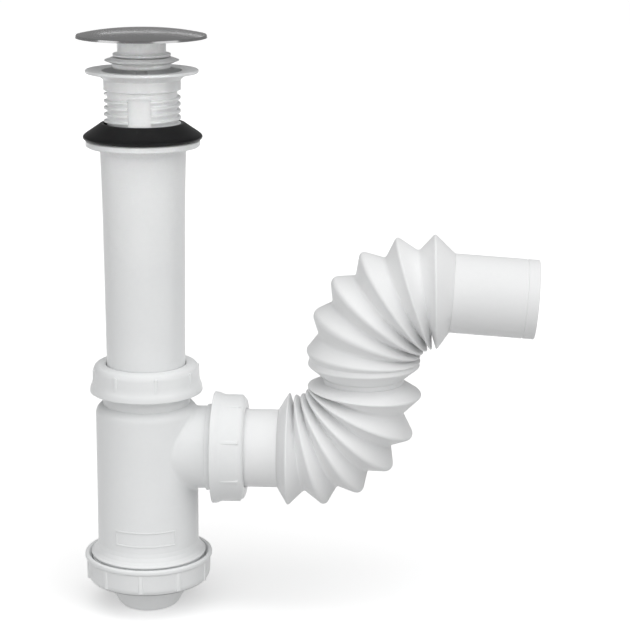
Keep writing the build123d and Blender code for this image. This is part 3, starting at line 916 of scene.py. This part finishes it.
@dataclass
class BottomCup(SubAssembly):
    """Screwed cup with a rim bead, grip ribs and a hollow boss."""

    top: float = -248.6
    edge: float = -263.7
    floor: float = -261.6
    bottom: float = -277.2
    rim: float = 33.0
    side: float = 31.9
    bore: float = 29.4
    boss: float = 21.0
    boss_tip: float = 14.6
    boss_wall: float = 2.2
    well: float = 24.0
    crest: float = 28.3
    pitch: float = 3.0
    ribs: int = 10
    first_rib: float = -90.0
    rib_width: float = 2.5
    rib_depth: float = 1.7

    def build(self) -> None:
        """Turn the cup, weld its ribs on and attach it."""
        threads = []
        for turn in range(2):
            middle = self.top - 4.6 - turn * self.pitch
            threads += [(self.bore, middle + 0.8), (self.crest, middle + 0.35), (self.crest, middle - 0.35),
                        (self.bore, middle - 0.8)]
        inside = self.bottom + self.boss_wall
        points = [(0.0, self.bottom), (self.boss_tip - 0.2, self.bottom),
                  (self.boss_tip + 1.4, self.bottom + 1.9), (self.boss, self.edge - 2.4),
                  (self.boss + 2.0, self.edge - 0.9), (self.side - 3.2, self.edge + 0.1),
                  (self.side, self.edge + 2.2),
                  (self.side + 0.2, self.top - 2.8), (self.rim, self.top - 2.3), (self.rim, self.top - 0.3),
                  (self.rim - 1.9, self.top), (self.bore, self.top - 2.6), *threads,
                  (self.bore, self.floor),
                  (self.well, self.floor), (self.boss - 1.6, self.floor - 2.4),
                  (self.boss_tip - 0.8, inside), (0.0, inside)]
        cup = Bench.turn("bottom_cup_moulding", points, {
            0.9: [1, 2, 4], 1.6: [3], 2.2: [5, 6], 0.3: [7], 0.6: [8, 9, 10]}, closed=False, steps=144)
        ribs = [Bench.grip_rib("cup_rib", self.side - 0.4, self.edge + 2.2, self.top - 2.4,
                               self.rib_width, self.rib_depth, self.first_rib + step * 360 / self.ribs)
                for step in range(self.ribs)]
        Bench.weld_on(cup, ribs)
        self.finish_piece(cup, "cup", Slot.WHITE, "bottom_cup")


@dataclass(frozen=True)
class Station:
    """One circle across the pleated pipe.

    Attributes:
        x: distance of its middle along the outlet, in mm.
        z: height of its middle, in mm.
        tilt: turn of its axis from upright towards the outlet, in degrees.
        radius: its radius, in mm.
        rounding: width of the rounding along it, in mm; zero leaves it sharp.
    """

    x: float
    z: float
    tilt: float
    radius: float
    rounding: float


@dataclass
class PleatedPipe(SubAssembly):
    """The two hand-bent pleated stretches of the outlet pipe and its plain end."""

    wall: float = 1.5
    valley: float = 20.4
    ridge: float = 29.2
    start_x: float = 73.1
    cuff_end: float = 67.8
    axis_height: float = -192.0
    lower_radius: float = 38.0
    lower_bulge: float = 2.7
    lower_growth: float = 1.6
    lower_step: float = 16.3
    last_lean: float = 4.6
    upper_radius: float = 36.6
    upper_bulge: float = 1.3
    upper_growth: float = 1.8
    upper_step: float = 16.7
    upper_turn: float = 93.6
    neck_length: float = 9.2
    neck_half: float = 1.2
    neck_drop: float = 0.2
    tail_length: float = 5.0
    lower_stretch: tuple[float, float] = (13.2, 41.1)
    upper_stretch: tuple[float, float] = (13.5, 47.1)
    lower_tips: tuple[float, ...] = (1.1, 2.3, 2.9, 2.7, 2.0, 1.4)
    upper_tips: tuple[float, ...] = (1.3, 2.9, 2.8, 2.3, 1.6, 1.1)
    valley_rounding: float = 1.4
    smooth_angle: float = 38.0
    mark_from_end: float = 6.0
    mark_depth: float = 0.3
    pipe_radius: float = 20.0
    pipe_wall: float = 1.8
    spigot_length: float = 42.4
    divisions: int = 112

    @property
    def neck_x(self) -> float:
        """Distance of the neck along the outlet, in mm."""
        return self.start_x + self.lower_radius

    @property
    def lower_height(self) -> float:
        """Height of the lower bend's centre, in mm."""
        return self.axis_height + self.lower_radius

    @property
    def upper_centre(self) -> tuple[float, float]:
        """Distance and height of the upper bend's centre, in mm."""
        return self.neck_x + self.upper_radius, self.lower_height + self.neck_length

    @staticmethod
    def swell(angle: float) -> float:
        """Share of the bulge at an angle round a bend: none at its ends, all at its middle."""
        return math.sin(math.radians(2 * min(max(angle, 0.0), 90.0)))

    def lower_station(self, angle: float, radius: float, rounding: float, lean: float = 0.0) -> Station:
        """Circle across the lower bend at a turn angle."""
        reach = self.lower_radius + self.lower_bulge * self.swell(angle)
        turn = math.radians(angle)
        return Station(self.start_x + reach * math.sin(turn), self.lower_height - reach * math.cos(turn),
                       90.0 - angle - lean, radius + self.lower_growth * self.swell(angle), rounding)

    def upper_station(self, angle: float, radius: float, rounding: float) -> Station:
        """Circle across the upper bend at a turn angle."""
        reach = self.upper_radius + self.upper_bulge * self.swell(angle)
        turn = math.radians(angle)
        x, z = self.upper_centre
        return Station(x - reach * math.cos(turn), z + reach * math.sin(turn), angle,
                       radius + self.upper_growth * self.swell(angle), rounding)

    def lower_stations(self) -> list[Station]:
        """Circles of the lower bend, from the cuff to the neck."""
        last = len(self.lower_tips) - 1
        stations = [Station(self.cuff_end, self.axis_height, 90.0, self.valley, 0.0)]
        for step, tip in enumerate(self.lower_tips):
            turn = step * self.lower_step
            lean = self.last_lean if step == last else 0.0
            stations.append(self.lower_station(turn, self.ridge, tip, lean))
            if step < last:
                stations.append(self.lower_station(turn + self.lower_step / 2, self.valley,
                                                   self.valley_rounding))
        end = self.lower_height - self.neck_drop - self.neck_half
        stations.append(Station(self.neck_x, end, 0.0, self.valley, 0.0))
        return stations

    def upper_stations(self) -> list[Station]:
        """Circles of the upper bend, from the neck to the plain end."""
        last = len(self.upper_tips) - 1
        z = self.upper_centre[1]
        start = self.lower_height - self.neck_drop + self.neck_half
        stations = [Station(self.neck_x, start, 0.0, self.valley, 0.0),
                    Station(self.neck_x, z - 1.6, 0.0, self.ridge - 0.6, 0.7),
                    self.upper_station(1.6, self.ridge - 1.8, 0.4)]
        for step, tip in enumerate(self.upper_tips):
            turn = 5.0 + step * self.upper_step
            stations.append(self.upper_station(turn, self.ridge, tip))
            if step < last:
                middle = turn + self.upper_step / 2
                shallow = 4.8 * max(0.0, 1 - middle / 60) ** 2
                stations.append(self.upper_station(middle, self.valley + shallow, self.valley_rounding))
        end_x, end_z = self.beyond(self.tail_length)
        stations.append(Station(end_x, end_z, self.upper_turn, self.pipe_radius, 0.0))
        return stations

    def beyond(self, distance: float) -> tuple[float, float]:
        """Point on the axis a distance after the upper bend ends, in mm."""
        turn = math.radians(self.upper_turn)
        x, z = self.upper_centre
        return (x - self.upper_radius * math.cos(turn) + distance * math.sin(turn),
                z + self.upper_radius * math.sin(turn) + distance * math.cos(turn))

    def skin_run(self, here: Station, radius: float, stations: list[Station], thinning: float) -> float:
        """Extrude the selected circle through a run of stations.

        Args:
            here: station that the selected circle stands at.
            radius: the selected circle's radius, in mm.
            stations: stations to go through, in order.
            thinning: how much smaller than its station each circle is, in mm.

        Returns:
            The radius of the last circle, in mm.
        """
        for there in stations:
            goal = there.radius - thinning
            move = Vector(((there.x - here.x) * MM, 0, (there.z - here.z) * MM))
            middle = (there.x * MM, 0, there.z * MM)
            bpy.ops.mesh.extrude_region_move(TRANSFORM_OT_translate={"value": move})
            turned = math.radians(there.tilt - here.tilt)
            if abs(turned) > 1e-6:
                bpy.ops.transform.rotate(value=-turned, orient_axis="Y", orient_type="GLOBAL",
                                         center_override=middle)
            bpy.ops.transform.resize(value=(goal / radius,) * 3, center_override=middle)
            here, radius = there, goal
        return radius

    def bellows(self, name: str, stations: list[Station]) -> bpy.types.Object:
        """Make one pleated stretch with its outer and inner skins.

        Args:
            name: name of the piece.
            stations: circles from one end to the other.

        Returns:
            The closed mesh object.
        """
        Bench.clear()
        first, last = stations[0], stations[-1]
        bpy.ops.mesh.primitive_circle_add(vertices=self.divisions, radius=first.radius * MM,
                                          location=(first.x * MM, 0, first.z * MM),
                                          rotation=(0, math.radians(first.tilt), 0))
        pipe = bpy.context.object
        pipe.name = pipe.data.name = name
        bpy.ops.object.transform_apply(location=True, rotation=True, scale=True)
        Bench.edit("VERT")
        bpy.ops.mesh.select_all(action="SELECT")
        radius = self.skin_run(first, first.radius, stations[1:], 0.0)
        radius = self.skin_run(last, radius, [last], self.wall)
        radius = self.skin_run(last, radius, stations[-2::-1], self.wall)
        self.skin_run(first, radius, [first], 0.0)
        bpy.ops.object.mode_set(mode="OBJECT")
        self.weigh_rings(pipe, stations)
        Bench.edit("VERT")
        Bench.close_up()
        rounding = pipe.modifiers.new("rounding", "BEVEL")
        rounding.limit_method = "WEIGHT"
        rounding.width = WIDEST_ROUNDING * MM
        rounding.segments = 4
        rounding.use_clamp_overlap = True
        bpy.ops.object.modifier_apply(modifier=rounding.name)
        return pipe

    def weigh_rings(self, pipe: bpy.types.Object, stations: list[Station]) -> None:
        """Mark how widely each ring is rounded.

        Args:
            pipe: the pleated mesh, rings in the order they were extruded.
            stations: its stations.
        """
        count = len(stations)
        weights = [s.rounding / WIDEST_ROUNDING for s in stations]
        inner = [w * 0.5 for w in reversed(weights)]
        per_ring = weights + inner + [0.0]
        mesh = pipe.data
        layer = mesh.attributes.new("bevel_weight_edge", "FLOAT", "EDGE")
        for edge in mesh.edges:
            a, b = (v // self.divisions for v in edge.vertices)
            if a == b and a < 2 * count:
                layer.data[edge.index].value = per_ring[a]

    def build_spigot(self) -> None:
        """Plain end with a shallow insertion mark."""
        bore = self.pipe_radius - self.pipe_wall
        mark = self.spigot_length - self.mark_from_end
        mark_radius = self.pipe_radius - self.mark_depth
        points = [(bore, 0.0), (self.pipe_radius, 0.0), (self.pipe_radius, mark - 0.45),
                  (mark_radius, mark - 0.15), (mark_radius, mark + 0.15),
                  (self.pipe_radius, mark + 0.45), (self.pipe_radius, self.spigot_length),
                  (bore, self.spigot_length)]
        spigot = Bench.turn("outlet_plain_end", points, {0.5: [6], 0.3: [7], 0.2: [2, 5]}, steps=144)
        x, z = self.beyond(self.tail_length)
        Bench.place(spigot, (x, 0, z), Axis.UP, self.upper_turn)
        self.finish_piece(spigot, "spigot", Slot.SOFT_WHITE, "outlet_spigot")

    def build_bend(self, name: str, stations: list[Station], bodies: tuple[str, str],
                   stretch: tuple[float, float], node: str) -> None:
        """Make one pleated bend in its resting shape; it is not attached to the bodies at its ends.

        Args:
            name: name of the piece.
            stations: circles from one end to the other.
            bodies: bodies at its two ends.
            stretch: where along its chord it starts and stops bending, in mm; not used.
            node: CAD node that it replaces.
        """
        bend = self.bellows(name, stations)
        Bench.smooth(bend, math.radians(self.smooth_angle))
        self.finishes.dress(bend, Slot.SOFT_WHITE)
        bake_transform(bend)
        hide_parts(node)
        log.info("%s bends between %s and %s", name, *bodies)

    def build(self) -> None:
        """Make both bends and the plain end."""
        self.build_bend("lower_pleats", self.lower_stations(), ("hose", "neck"),
                        self.lower_stretch, "lower_bellows")
        self.build_bend("upper_pleats", self.upper_stations(), ("neck", "spigot"),
                        self.upper_stretch, "upper_bellows")
        self.build_spigot()


@dataclass
class CarriedNodes:
    """CAD nodes that stay as they are and get a finish."""

    finishes: FinishSet
    slots: dict[str, Slot] = field(default_factory=lambda: {
        "cap_stud": Slot.BRASS, "latch_plunger": Slot.WHITE, "latch_rotor": Slot.WHITE,
        "latch_spring": Slot.SPRING_STEEL, "latch_barrel": Slot.WHITE, "waste_body": Slot.WHITE,
        "waste_spider": Slot.WHITE, "inlet_tube": Slot.WHITE, "inlet_slip_ring": Slot.WHITE,
        "inlet_cone_seal": Slot.GREY_RUBBER, "bottle_body": Slot.WHITE,
        "cup_seal_ring": Slot.GREY_RUBBER, "outlet_slip_ring": Slot.WHITE,
        "outlet_cone_seal": Slot.GREY_RUBBER, "hose_cuff": Slot.SOFT_WHITE,
        "hose_neck": Slot.SOFT_WHITE})

    def build(self) -> None:
        """Dress every carried node and every hidden one."""
        for name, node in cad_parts.items():
            slot = self.slots.get(name, Slot.WHITE)
            self.finishes.dress(node, slot)
            log.info("%s is dressed as %s", name, slot.value)


# ---- Studio -------------------------------------------------------------------------------


@dataclass(frozen=True)
class Lamp:
    """One soft area light.

    Attributes:
        name: its name.
        location: where it hangs, in m.
        target: the point it is aimed at, in m.
        width: its width, in m.
        height: its height, in m.
        power: its power, in W.
        mirrored: whether polished faces show it.
        spread: how widely it fans out, in degrees.
    """

    name: str
    location: tuple[float, float, float]
    target: tuple[float, float, float]
    width: float
    height: float
    power: float
    mirrored: bool = True
    spread: float = 180.0

    def build(self) -> None:
        """Hang the light and aim it."""
        data = bpy.data.lights.new(self.name, "AREA")
        data.shape = "RECTANGLE"
        data.size = self.width
        data.size_y = self.height
        data.energy = self.power
        data.spread = math.radians(self.spread)
        lamp = bpy.data.objects.new(self.name, data)
        lamp.location = self.location
        lamp.visible_glossy = self.mirrored
        aim = Vector(self.target) - Vector(self.location)
        lamp.rotation_euler = aim.to_track_quat("-Z", "Y").to_euler()
        bpy.context.scene.collection.objects.link(lamp)


@dataclass
class Studio:
    """Pale floor, soft lights and the camera."""

    floor_height: float = -0.2772
    floor_size: float = 30.0
    middle: tuple[float, float, float] = (0.07, 0.0, -0.14)
    waste: tuple[float, float, float] = (0.0, 0.0, 0.008)
    camera_place: tuple[float, float, float] = (0.136225, -0.956040, 0.108602)
    camera_turn: tuple[float, float, float] = (76.49976, -0.34033, 3.08171)
    lens: float = 111.43
    sky_strength: float = 0.27
    sun_energy: float = 2.0
    sun_width: float = 80.0
    sun_turn: tuple[float, float, float] = (24.0, 10.0, 0.0)
    floor_glow: float = 0.22

    def build_floor(self) -> None:
        """Large plain floor."""
        Bench.clear()
        bpy.ops.mesh.primitive_plane_add(size=self.floor_size, location=(0, 0, self.floor_height))
        floor = bpy.context.object
        floor.name = "studio_floor"
        material = bpy.data.materials.new("pale_floor")
        material.use_nodes = True
        shader = material.node_tree.nodes["Principled BSDF"]
        shader.inputs["Base Color"].default_value = (0.96, 0.96, 0.96, 1.0)
        shader.inputs["Roughness"].default_value = 0.9
        shader.inputs["Specular IOR Level"].default_value = 0.1
        shader.inputs["Emission Color"].default_value = (1.0, 1.0, 1.0, 1.0)
        shader.inputs["Emission Strength"].default_value = self.floor_glow
        floor.data.materials.append(material)
        floor.visible_diffuse = False
        floor.visible_shadow = False

    def build_lights(self) -> None:
        """Even sky, a high soft sun, soft fills from the front and below, two windows and a strip."""
        world = bpy.data.worlds.new("studio_sky")
        world.use_nodes = True
        sky = world.node_tree.nodes["Background"]
        sky.inputs["Color"].default_value = (1.0, 1.0, 1.0, 1.0)
        sky.inputs["Strength"].default_value = self.sky_strength
        bpy.context.scene.world = world
        sun_data = bpy.data.lights.new("overhead_light", "SUN")
        sun_data.energy = self.sun_energy
        sun_data.angle = math.radians(self.sun_width)
        sun = bpy.data.objects.new("overhead_light", sun_data)
        sun.rotation_euler = [math.radians(a) for a in self.sun_turn]
        sun.visible_glossy = False
        bpy.context.scene.collection.objects.link(sun)
        middle = self.middle
        for lamp in (
                Lamp("front_fill", (0.00, -2.40, 0.15), middle, 1.80, 1.20, 7.0, mirrored=False),
                Lamp("low_fill", (0.05, -1.10, -1.10), middle, 1.20, 0.80, 3.8, mirrored=False),
                Lamp("waste_fill", (0.00, -1.75, -0.15), self.waste, 0.30, 0.10, 0.024, False, 6.0),
                Lamp("front_left_window", (-1.20, -0.81, 0.55), middle, 1.00, 0.70, 2.2),
                Lamp("front_right_window", (1.24, -0.90, 0.60), middle, 1.30, 0.70, 2.7),
                Lamp("back_fill", (0.10, 2.40, 0.60), middle, 1.80, 1.20, 9.0, mirrored=False),
                Lamp("back_strip", (-0.12, 1.20, 0.32), middle, 0.30, 0.03, 0.04)):
            lamp.build()

    def build_camera(self) -> None:
        """Camera that looks slightly down at the trap."""
        data = bpy.data.cameras.new("view")
        data.lens = self.lens
        data.sensor_width = 36.0
        data.clip_start = 0.01
        data.clip_end = 100.0
        camera = bpy.data.objects.new("view", data)
        camera.location = self.camera_place
        camera.rotation_euler = [math.radians(a) for a in self.camera_turn]
        bpy.context.scene.collection.objects.link(camera)
        bpy.context.scene.camera = camera

    def build(self) -> None:
        """Set the stage."""
        self.build_floor()
        self.build_lights()
        self.build_camera()
        bpy.context.scene.view_settings.view_transform = "Standard"


def main() -> None:
    """Build every sub-assembly in order."""
    finishes = FinishSet()
    finishes.build()
    CarriedNodes(finishes).build()
    for part in (PopUpPlug, LatchSpring, BasinSeal, UnionNut, BottleDetails, BottomCup, PleatedPipe):
        part(finishes).build()
        log.info("%s is done", part.__name__)
    Studio().build()
    Bench.clear()


if __name__ == "__main__":
    main()
